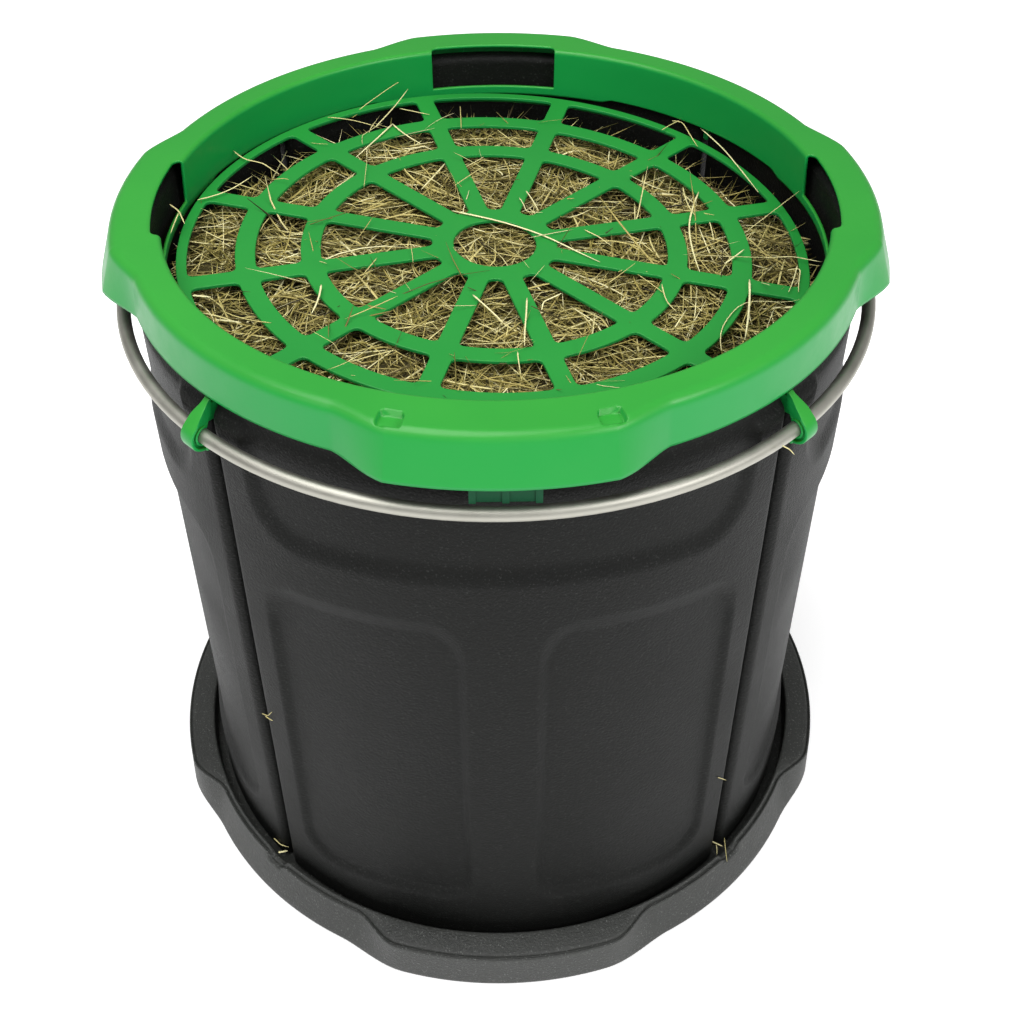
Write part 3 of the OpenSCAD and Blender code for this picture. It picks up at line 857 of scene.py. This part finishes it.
# ---------------------------------------------------------------- clips
def clip_piece(name, node, az):
    """A hook with an I-section: two flanges and a thin web, in the radial plane."""
    def hook_outline(ro, ri, grow=0.0):
        pts = []
        # builds no points
        return pts
    tr = TUBE_R + 0.25
    # centreline points of the outer flange (u outwards, v up), from the wall over the tube to the tip
    outer = [(-12.6, 30.5), (-9.5, 27.6), (-5.5, 24.6), (-1.5, 21.6), (2.5, 18.3)]
    ro = 15.0
    for a in np.linspace(56, -100, 22):
        k = (56 - a) / 156.0
        rr = ro - 1.2 * k
        outer.append((rr * math.cos(math.radians(a)) * 1.0 - 0.4, rr * math.sin(math.radians(a))))
    inner = [(-12.2, 13.0), (-10.5, 12.2), (-8.6, 10.4)]
    ri = TUBE_R + 0.25
    arc = [(ri * math.cos(math.radians(a)), ri * math.sin(math.radians(a))) for a in np.linspace(140, -100, 30)]
    inner += arc
    parts = []
    def slab(top, bot, y0, y1):
        """Closed solid between two edges, from y0 to y1."""
        ring = list(top) + list(bot)[::-1]
        bm = bmesh.new()
        lo = [bm.verts.new((u, y0, v)) for u, v in ring]
        hi = [bm.verts.new((u, y1, v)) for u, v in ring]
        n = len(ring)
        for i in range(n):
            bm.faces.new((lo[i], lo[(i + 1) % n], hi[(i + 1) % n], hi[i]))
        bm.faces.new(lo[::-1])
        bm.faces.new(hi)
        bmesh.ops.recalc_face_normals(bm, faces=bm.faces)
        return bm
    def offset_in(path, d):
        p = np.array(path, float)
        tan = np.gradient(p, axis=0)
        nrm = np.stack([tan[:, 1], -tan[:, 0]], -1)
        nrm /= np.linalg.norm(nrm, axis=1)[:, None] + 1e-9
        return p + nrm * d
    out = []
    oi = offset_in(outer, 2.6)       # inner side of the outer flange
    io = offset_in(inner, -2.2)      # outer side of the inner flange
    out.append(slab(outer, oi, -1.0, 1.0))
    out.append(slab(io, inner, -1.0, 1.0))
    # flanges narrow towards the wall, widest over the tube
    def widen(bm, half):
        for v in bm.verts:
            k = float(smooth((v.co.x + 12.0) / 19.0)) if v.co.z > 0 else 1.0
            v.co.y *= half * (0.42 + 0.58 * k) * (1.0 - 0.22 * float(smooth(-v.co.z / 16.0)))
    widen(out[0], 7.5)
    widen(out[1], 6.0)
    # web between them
    k = 34
    def resample(path, n):
        p = np.array(path, float)
        d = np.concatenate([[0], np.cumsum(np.linalg.norm(np.diff(p, axis=0), axis=1))])
        t = np.linspace(0, d[-1], n)
        return np.stack([np.interp(t, d, p[:, 0]), np.interp(t, d, p[:, 1])], -1)
    out.append(slab(resample(offset_in(outer, 1.4), k), resample(offset_in(inner, -1.0), k), -3.2, 3.2))
    # tip block that closes the hook's end
    tip = [(-3.2, -15.0), (0.6, -14.8), (0.6, -6.6), (-1.2, -6.5), (-3.0, -8.0)]
    bm = bmesh.new()
    lo = [bm.verts.new((u, -6.8, v)) for u, v in tip]
    hi = [bm.verts.new((u, 6.8, v)) for u, v in tip]
    for i in range(len(tip)):
        bm.faces.new((lo[i], lo[(i + 1) % len(tip)], hi[(i + 1) % len(tip)], hi[i]))
    bm.faces.new(lo[::-1]); bm.faces.new(hi)
    bmesh.ops.recalc_face_normals(bm, faces=bm.faces)
    out.append(bm)
    # tongue in the joint, with a barbed tip
    for (x0, x1, y, z0, z1) in [(WALL_RI - HOOP_R + 4.2, -8.0, 2.4, 9.0, 25.8), (WALL_RI - HOOP_R + 4.0, WALL_RI - HOOP_R + 9.0, 3.7, 10.0, 24.0)]:
        bm = bmesh.new()
        bmesh.ops.create_cube(bm, size=1.0)
        bmesh.ops.scale(bm, vec=(x1 - x0, 2 * y, z1 - z0), verts=bm.verts)
        bmesh.ops.translate(bm, vec=((x0 + x1) / 2, 0, (z0 + z1) / 2), verts=bm.verts)
        out.append(bm)
    obs = []
    M = Matrix.Rotation(math.radians(az), 4, "Z") @ Matrix.Translation((HOOP_R * MM, 0, HOOP_Z * MM)) @ Matrix.Scale(MM, 4)
    for i, bm in enumerate(out):
        me = bpy.data.meshes.new("c%d" % i)
        bm.to_mesh(me)
        bm.free()
        o = bpy.data.objects.new("c%d" % i, me)
        bpy.context.scene.collection.objects.link(o)
        me.materials.append(M_GREEN)
        be = o.modifiers.new("b", "BEVEL")
        be.width = 0.7
        be.segments = 3
        be.limit_method = "ANGLE"
        be.angle_limit = math.radians(40)
        apply_mods(o)
        o.data.transform(M)
        o.data.polygons.foreach_set("use_smooth", [True] * len(o.data.polygons))
        obs.append(o)
    ob = join(obs, name)
    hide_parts(node)
    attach(ob, "stand")
    return ob


# ---------------------------------------------------------------- hay
def strands(name, centres, dirs, lengths, widths, curls, tones, mat, rng, seg=6, sides=3, flat=0.45):
    """Bent stalks as closed thin tubes. dirs are unit vectors, curls bend them sideways."""
    n = len(centres)
    t = np.linspace(-0.5, 0.5, seg + 1)
    up = np.tile(np.array([0.0, 0.0, 1.0]), (n, 1))
    side = np.cross(dirs, up)
    bad = np.linalg.norm(side, axis=1) < 0.15
    side[bad] = np.cross(dirs[bad], np.array([1.0, 0.0, 0.0]))
    side /= np.linalg.norm(side, axis=1)[:, None]
    nrm = np.cross(side, dirs)
    nrm /= np.linalg.norm(nrm, axis=1)[:, None]
    ph = rng.uniform(0, 2 * PI, n)
    bd = side * np.cos(ph)[:, None] + nrm * (np.sin(ph) * 0.7)[:, None]
    C = (centres[:, None, :] + dirs[:, None, :] * (t[None, :, None] * lengths[:, None, None])
         + bd[:, None, :] * (curls[:, None, None] * lengths[:, None, None] * (t[None, :, None] ** 2 * 4 - 0.33)))
    # a kink at a random place on some stalks
    kink = rng.random(n) < 0.28
    kp = rng.uniform(-0.25, 0.25, n)
    kd = side * rng.normal(0, 1, n)[:, None] + nrm * rng.normal(0, 0.5, n)[:, None]
    over = np.clip(t[None, :] - kp[:, None], 0, 1)
    C += np.where(kink[:, None, None], kd[:, None, :] * (over * lengths[:, None] * 0.45)[:, :, None], 0)
    tw = rng.uniform(0, PI, n)
    a1 = side * np.cos(tw)[:, None] + nrm * np.sin(tw)[:, None]
    a2 = -side * np.sin(tw)[:, None] + nrm * np.cos(tw)[:, None]
    taper = np.interp(np.abs(t), [0, 0.38, 0.5], [1.0, 0.85, 0.30])
    V = []
    for k in range(sides):
        a = 2 * PI * k / sides
        V.append(C + (a1[:, None, :] * math.cos(a) + a2[:, None, :] * (math.sin(a) * flat)) * (widths[:, None] * 0.5 * taper[None, :])[:, :, None])
    V = np.stack(V, 2)          # n, seg+1, sides, 3
    idx = np.arange(n * (seg + 1) * sides).reshape(n, seg + 1, sides)
    fs = []
    for k in range(sides):
        k2 = (k + 1) % sides
        fs.append(np.stack([idx[:, :-1, k], idx[:, :-1, k2], idx[:, 1:, k2], idx[:, 1:, k]], -1).reshape(-1, 4))
    quads = np.concatenate(fs)
    caps0 = idx[:, 0, ::-1].reshape(n, sides)
    caps1 = idx[:, -1, :].reshape(n, sides)
    me = bpy.data.meshes.new(name)
    nv = V.size // 3
    nq = len(quads)
    me.vertices.add(nv)
    me.vertices.foreach_set("co", (V.reshape(-1, 3)).ravel())
    loops = np.concatenate([quads.ravel(), caps0.ravel(), caps1.ravel()]).astype(np.int32)
    me.loops.add(len(loops))
    me.loops.foreach_set("vertex_index", loops)
    tot = np.concatenate([np.full(nq, 4), np.full(2 * n, sides)]).astype(np.int32)
    start = np.concatenate([[0], np.cumsum(tot)[:-1]]).astype(np.int32)
    me.polygons.add(len(tot))
    me.polygons.foreach_set("loop_start", start)
    me.polygons.foreach_set("loop_total", tot)
    me.update(calc_edges=True)
    me.validate()
    at = me.attributes.new("hay_tone_and_depth_shade", "FLOAT", "POINT")
    at.data.foreach_set("value", np.repeat(tones, (seg + 1) * sides).astype(np.float32))
    ob = bpy.data.objects.new(name, me)
    bpy.context.scene.collection.objects.link(ob)
    me.materials.append(mat)
    me.polygons.foreach_set("use_smooth", [True] * len(me.polygons))
    return ob


def bed_height(x, y):
    """Top of the loose hay, in metres, lower and ragged near the wall."""
    r = np.hypot(x, y)
    h = 0.6605 + lean(x, y) + 0.0025 * np.sin(x * 31 + 1.3) * np.cos(y * 27 + 0.4) + 0.002 * np.sin(x * 63 + y * 41)
    a = np.arctan2(y, x)
    back = smooth((np.sin(a) - 0.05) / 0.75)
    drop = smooth((r - 0.222) / 0.07) * 0.042 * back
    drop += smooth((r - 0.262) / 0.04) * 0.006
    return h - drop


def lean(x, y):
    """Height of the leaning grid above its middle."""
    return -0.0332 * x + 0.0192 * y


def hay():
    rng = np.random.default_rng(4117)
    # closed body of the hay, painted dark as the shade below the stalks
    nr_, na = 46, 120
    V, zt = [], []
    rr = np.concatenate([np.linspace(0, 296, 36), np.linspace(299, 308, 5)])
    az = np.linspace(0, 2 * PI, na + 1)[:-1]
    prof = []
    for a in az:
        col = []
        for r in rr:
            x, y = r * MM * math.cos(a), r * MM * math.sin(a)
            z = bed_height(x, y) / MM - 8.0 + rng.normal(0, 1.6)
            if r > 299:
                z = min(z, 628 - (r - 299) * 3.2)
            if r == 0:
                z = 652.0
            col.append((r, z))
        for z in np.linspace(560, 60, 12):
            col.append((308.5 + rng.normal(0, 0.5), z))
        col += [(305.0, 47.0), (300.0, 41.0), (150.0, 40.6), (0.0, 40.6)]
        prof.append([(r * math.cos(a), r * math.sin(a), z) for r, z in col])
    V = np.array(prof)
    nu, nv = V.shape[:2]
    bed = make_object("hay_body", V.reshape(-1, 3) * MM, grid_faces(nu, nv, True), M_BED)
    bm = bmesh.new()
    bm.from_mesh(bed.data)
    bmesh.ops.remove_doubles(bm, verts=bm.verts, dist=1e-6)
    bmesh.ops.recalc_face_normals(bm, faces=bm.faces)
    bm.to_mesh(bed.data)
    bm.free()

    def layer(n, depth, spread, lmin, lmax, wmin, wmax, tone, tilt, rmax=0.297):
        r = rmax * np.sqrt(rng.uniform(0, 1, n))
        a = rng.uniform(0, 2 * PI, n)
        x, y = r * np.cos(a), r * np.sin(a)
        z = bed_height(x, y) - depth + rng.normal(0, spread, n)
        # bundles: neighbouring stalks share a direction
        fx = np.sin(x * 19 + 2.1) + np.cos(y * 23 - x * 11 + 0.7) + np.sin((x + y) * 37)
        th = fx * 1.7 + rng.normal(0, 0.75, n)
        el = rng.normal(0, tilt, n)
        d = np.stack([np.cos(th) * np.cos(el), np.sin(th) * np.cos(el), np.sin(el)], -1)
        L = rng.uniform(lmin, lmax, n) * rng.choice([1.0, 0.7, 0.5], n)
        # keep the ends inside the wall
        for _ in range(3):
            e1 = np.hypot(x + d[:, 0] * L / 2, y + d[:, 1] * L / 2)
            e2 = np.hypot(x - d[:, 0] * L / 2, y - d[:, 1] * L / 2)
            L = np.where(np.maximum(e1, e2) > 0.306, L * 0.6, L)
        w = rng.uniform(wmin, wmax, n) * rng.choice([1.0, 1.0, 0.6], n)
        c = np.stack([x, y, z], -1)
        # no stalk pokes above the grid's underside
        top = z + np.abs(d[:, 2]) * L / 2 - lean(x, y)
        c[:, 2] -= np.maximum(top - 0.6695, 0)
        tn = np.clip(rng.normal(tone, 0.24, n), 0, 1)
        return c, d, L, w, rng.normal(0, 0.10, n), tn

    # painted shade: deeper layers get darker tones, as if shaded inside the pile
    deep = layer(3600, 0.012, 0.004, 0.06, 0.16, 0.0014, 0.0030, 0.22, 0.12)
    midl = layer(4200, 0.005, 0.0035, 0.05, 0.15, 0.0012, 0.0028, 0.42, 0.15)
    topl = layer(2900, -0.0015, 0.003, 0.04, 0.14, 0.0011, 0.0027, 0.64, 0.18)
    parts = [np.concatenate([a[k] for a in (deep, midl, topl)]) for k in range(6)]
    st = strands("hay_stalks", *parts, M_HAY, rng)
    st.data.materials.append(M_BED)
    for o in (bed, st):
        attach(o, "stand")
        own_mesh(o)
    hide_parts("hay_fill")

    # loose stalks on top of the grid
    L = []
    def stalk(x0, y0, x1, y1, z0, z1, w, curl, tone):
        p, q = np.array([x0, y0, z0]), np.array([x1, y1, z1])
        d = q - p
        ln = np.linalg.norm(d)
        L.append(((p + q) / 2, d / ln, ln, w, curl, tone))
    ztop = 0.0012
    n = 46
    r = 0.285 * np.sqrt(rng.uniform(0, 1, n))
    a = rng.uniform(0, 2 * PI, n)
    for i in range(n):
        th = rng.uniform(0, PI)
        ln = rng.uniform(0.015, 0.055)
        x, y = r[i] * math.cos(a[i]), r[i] * math.sin(a[i])
        dx, dy = math.cos(th) * ln / 2, math.sin(th) * ln / 2
        if math.hypot(x + dx, y + dy) > 0.29 or math.hypot(x - dx, y - dy) > 0.29:
            continue
        dz = rng.uniform(-0.008, 0.010)
        stalk(x - dx, y - dy, x + dx, y + dy, ztop + max(0, -dz), ztop + max(0, dz), rng.uniform(0.0007, 0.0014), rng.normal(0, 0.06), rng.uniform(0.6, 1.0))
    c, d, ln, w, cu, tn = (np.array([s[k] for s in L]) for k in range(6))
    rng2 = np.random.default_rng(77)
    loose = strands("hay_on_grid", c, d, ln, w, cu, tn, M_HAY, rng2, seg=7)
    loose.data.transform(GRID_M)
    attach(loose, "grid")
    return bed, st, loose


def bent_straws(name, table, rng):
    """Single stalks from a listed table: each runs through its points in millimetres."""
    C, W, T = [], [], []
    seg = 12
    for pts, w, tone in table:
        P = np.array(pts, float)
        d = np.concatenate([[0], np.cumsum(np.linalg.norm(np.diff(P, axis=0), axis=1))])
        t = np.linspace(0, d[-1], seg + 1)
        Q = np.stack([np.interp(t, d, P[:, k]) for k in range(3)], -1)
        for _ in range(2 if len(P) > 2 else 0):
            Q[1:-1] = (Q[:-2] + 2 * Q[1:-1] + Q[2:]) / 4
        bow = rng.normal(0, 0.025) * d[-1]
        side = np.array([-(P[-1] - P[0])[1], (P[-1] - P[0])[0], 0.0])
        side /= np.linalg.norm(side) + 1e-9
        u = t / d[-1]
        Q += side * (bow * 4 * u * (1 - u))[:, None]
        C.append(Q)
        W.append(w)
        T.append(tone)
    C = np.array(C) * MM
    n = len(C)
    tan = np.gradient(C, axis=1)
    tan /= np.linalg.norm(tan, axis=2)[:, :, None] + 1e-12
    up = np.array([0.0, 0.0, 1.0])
    side = np.cross(tan, up)
    side /= np.linalg.norm(side, axis=2)[:, :, None] + 1e-9
    nrm = np.cross(side, tan)
    taper = np.interp(np.linspace(0, 1, seg + 1), [0, 0.06, 0.8, 1.0], [0.6, 1.0, 0.85, 0.3])
    sides = 5
    rad = np.array(W)[:, None] * MM * 0.5 * taper[None, :]
    V = np.stack([C + side * (rad * math.cos(2 * PI * k / sides))[:, :, None] + nrm * (rad * 0.7 * math.sin(2 * PI * k / sides))[:, :, None]
                  for k in range(sides)], 2)
    idx = np.arange(n * (seg + 1) * sides).reshape(n, seg + 1, sides)
    fs = []
    for i in range(n):
        for j in range(seg):
            for k in range(sides):
                k2 = (k + 1) % sides
                fs.append((int(idx[i, j, k]), int(idx[i, j, k2]), int(idx[i, j + 1, k2]), int(idx[i, j + 1, k])))
        fs.append(tuple(int(q) for q in idx[i, 0, ::-1]))
        fs.append(tuple(int(q) for q in idx[i, -1, :]))
    ob = make_object(name, V.reshape(-1, 3), fs, M_HAY)
    at = ob.data.attributes.new("hay_tone_and_depth_shade", "FLOAT", "POINT")
    at.data.foreach_set("value", np.repeat(np.array(T), (seg + 1) * sides).astype(np.float32))
    return ob


GRID_STRAWS = [
    ([(-42, 51, 678.4), (4, 38, 676.6), (46, 15, 674.8), (95, -32, 672.2)], 2.0, 1.00),
    ([(217, 219, 675.0), (235, 178, 673.6), (260, 93, 671.2)], 1.6, 0.95),
    ([(201, 94, 671.1), (190, 32, 670.3), (186, -45, 668.9)], 2.0, 0.95),
    ([(230, -58, 668.2), (223, -96, 667.7), (213, -149, 667.1)], 2.3, 1.00),
    ([(191, -163, 666.5), (194, -137, 666.9), (220, -94, 666.9), (237, -89, 666.4), (260, -96, 665.5), (274, -85, 665.3)], 1.0, 0.90),
    ([(211, -32, 669.4), (232, -8, 669.2)], 1.7, 0.97),
    ([(250, -25, 670.2), (274, -22, 669.5), (301, -30, 668.4)], 1.3, 0.90),
    ([(-306, 30, 700.8), (-296, 19, 700.2), (-287, -3, 699.5)], 1.6, 0.85),
    ([(-296, 18, 698.2), (-298, -16, 697.6)], 1.3, 0.85),
    ([(-286, 60, 687.7), (-270, 70, 687.3), (-256, 83, 687.1), (-239, 106, 687.0)], 1.5, 0.90),
    ([(-263, 152, 689.7), (-247, 137, 688.8), (-229, 133, 688.2), (-213, 109, 687.2)], 1.5, 0.85),
    ([(-157, -79, 681.7), (-162, -122, 681.0)], 2.0, 1.00),
    ([(-268, -97, 684.0), (-252, -99, 683.5)], 2.2, 1.00),
    ([(23, 77, 676.7), (27, 49, 676.1), (45, 51, 675.5)], 1.1, 0.95),
    ([(30, 88, 677.7), (41, 52, 676.6)], 1.4, 0.97),
    ([(-22, -89, 676.0), (4, -129, 674.4)], 1.8, 1.00),
    ([(26, -94, 675.3), (26, -117, 674.9), (22, -164, 674.1)], 1.8, 0.95),
    ([(57, -83, 672.5), (39, -95, 672.9), (38, -112, 672.6)], 1.6, 1.00),
    ([(16, -171, 673.2), (18, -201, 672.5)], 1.2, 0.90),
    ([(-140, 224, 696.9), (-120, 252, 696.8), (-96, 294, 696.8)], 1.0, 0.80),
    ([(-122, 201, 689.9), (-107, 240, 690.2), (-92, 283, 690.5)], 1.4, 0.90),
    ([(-106, 218, 683.7), (-140, 148, 683.5)], 1.8, 1.00),
    ([(-106, 217, 683.7), (-75, 177, 681.9)], 1.8, 0.95),
    ([(-174, 227, 687.1), (-148, 218, 686.1), (-120, 207, 685.0)], 1.2, 0.80),
    ([(-100, 251, 684.1), (-68, 239, 682.8)], 1.3, 0.85),
    ([(189, 235, 675.2), (200, 235, 674.9), (210, 182, 673.5)], 1.4, 0.80),
    ([(176, 215, 675.3), (200, 239, 675.0)], 1.1, 0.80),
    ([(268, -41, 667.3), (282, -37, 666.9), (272, -76, 666.5)], 1.3, 0.90),
    ([(278, -33, 667.1), (263, -76, 666.8)], 1.3, 0.95),
    ([(186, 101, 672.8), (189, 68, 672.0), (192, 50, 671.6)], 1.5, 0.85),
    ([(205, 38, 670.9), (205, 7, 670.3)], 1.2, 0.90),
    ([(149, -66, 669.8), (152, -93, 669.2), (158, -108, 668.7)], 1.2, 0.85),
    ([(84, 22, 673.6), (98, 12, 673.0), (108, -5, 672.3)], 1.3, 0.85),
]
STAND_STRAWS = [
    ([(-239, -242, 285), (-232, -248, 289), (-226, -254, 302)], 1.2, 0.80),
    ([(-235, -246, 286), (-227, -253, 287)], 1.2, 0.80),
    ([(224, -256, 187), (236, -245, 167)], 1.2, 0.85),
    ([(225, -283, 660), (233, -277, 651), (239, -272, 641)], 1.5, 0.85),
    ([(-256, -206, 47), (-244, -210, 47)], 1.4, 0.90),
    ([(-257, -224, 44), (-248, -233, 44), (-239, -236, 44)], 1.4, 0.85),
    ([(-250, -242, 43), (-240, -240, 43)], 2.6, 1.00),
    ([(232, -239, 47), (244, -246, 47)], 1.8, 0.95),
    ([(238, -242, 44), (237, -255, 44)], 1.2, 0.90),
    ([(248, -234, 45), (247, -265, 45)], 1.0, 0.80),
]


def wisps():
    rng = np.random.default_rng(9)
    ob = bent_straws("hay_wisps_on_grid", GRID_STRAWS, rng)
    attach(ob, "grid")
    ob = bent_straws("hay_wisps_on_stand", STAND_STRAWS, rng)
    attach(ob, "stand")


# ---------------------------------------------------------------- build
base_tray()
wall_panel("wall_front_panel", "wall_front", -90, True)
wall_panel("wall_right_panel", "wall_right", 0, False)
wall_panel("wall_rear_panel", "wall_rear", 90, True)
wall_panel("wall_left_panel", "wall_left", 180, False)
lid_assembly()
float_grid()
clip_piece("clip_front_left_hook", "clip_front_left", -135)
clip_piece("clip_front_right_hook", "clip_front_right", -45)
clip_piece("clip_rear_right_hook", "clip_rear_right", 45)
clip_piece("clip_rear_left_hook", "clip_rear_left", 135)
hay()
wisps()


def dress(node, mat, bevel=0.0):
    o = NODES[node]
    o.data.materials.clear()
    o.data.materials.append(mat)
    if bevel:
        b = o.modifiers.new("edge", "BEVEL")
        b.width = bevel * MM
        b.segments = 2
        b.limit_method = "ANGLE"
        b.angle_limit = math.radians(35)


dress("hoop_tube", M_HOOP)
dress("hoop_spigot", M_PIN)
dress("foot_screws", M_PIN)
dress("latch_front", M_LATCH, 0.5)
dress("latch_rear", M_LATCH, 0.5)
dress("latch_pin_front", M_PIN)
dress("latch_pin_rear", M_PIN)

# ---------------------------------------------------------------- stage
def floor_mat():
    m, nt, bs = new_mat("floor_pale")
    co = coords(nt)
    n = noise(nt, co, 3.0, 2.0)
    col = ramp(nt, n, [(0.3, g(0.88)), (0.7, g(0.91))])
    nt.links.new(col, bs.inputs["Base Color"])
    nt.links.new(col, bs.inputs["Emission Color"])
    far = nt.nodes.new("ShaderNodeVectorMath")
    far.operation = "LENGTH"
    nt.links.new(co, far.inputs[0])
    nt.links.new(maprange(nt, far.outputs["Value"], 0.40, 1.05, 0.50, 0.95), bs.inputs["Emission Strength"])
    bs.inputs["Roughness"].default_value = 0.7
    return m


bpy.ops.mesh.primitive_plane_add(size=14, location=(0, 0, 0))
floor = bpy.context.object
floor.name = "floor"
floor.data.materials.append(floor_mat())

world = bpy.data.worlds.new("world")
bpy.context.scene.world = world
world.use_nodes = True
bg = world.node_tree.nodes["Background"]
bg.inputs["Color"].default_value = (1.0, 1.0, 1.0, 1)
bg.inputs["Strength"].default_value = 0.30


def area(name, loc, target, size, energy, size_y=None):
    d = bpy.data.lights.new(name, "AREA")
    d.energy = energy
    d.shape = "RECTANGLE"
    d.size = size
    d.size_y = size_y or size
    o = bpy.data.objects.new(name, d)
    bpy.context.scene.collection.objects.link(o)
    o.location = loc
    o.rotation_euler = (Vector(target) - Vector(loc)).to_track_quat("-Z", "Y").to_euler()
    return o


area("key_top", (-0.5, -0.5, 2.6), (0, 0, 0.5), 1.6, 46)
area("high_right", (1.7, -1.7, 2.3), (0, 0, 0.6), 1.1, 41)
area("high_left", (-1.7, -1.7, 2.3), (0, 0, 0.6), 1.1, 8)
area("front_fill", (0.2, -2.6, 1.6), (0, 0, 0.3), 1.4, 3)

yaw = -math.radians(1.1)
cam_d = bpy.data.cameras.new("camera")
cam_d.sensor_width = 36
cam_d.lens = 49.446
cam = bpy.data.objects.new("camera", cam_d)
bpy.context.scene.collection.objects.link(cam)
px, py = 0.01448, -1.13948
cam.location = (px * math.cos(yaw) - py * math.sin(yaw), px * math.sin(yaw) + py * math.cos(yaw), 1.38293)
cam.rotation_euler = (PI / 2 - 0.745674, 0.0, yaw)
bpy.context.scene.camera = cam
vs = bpy.context.scene.view_settings
vs.view_transform = "Standard"
vs.look = "None"
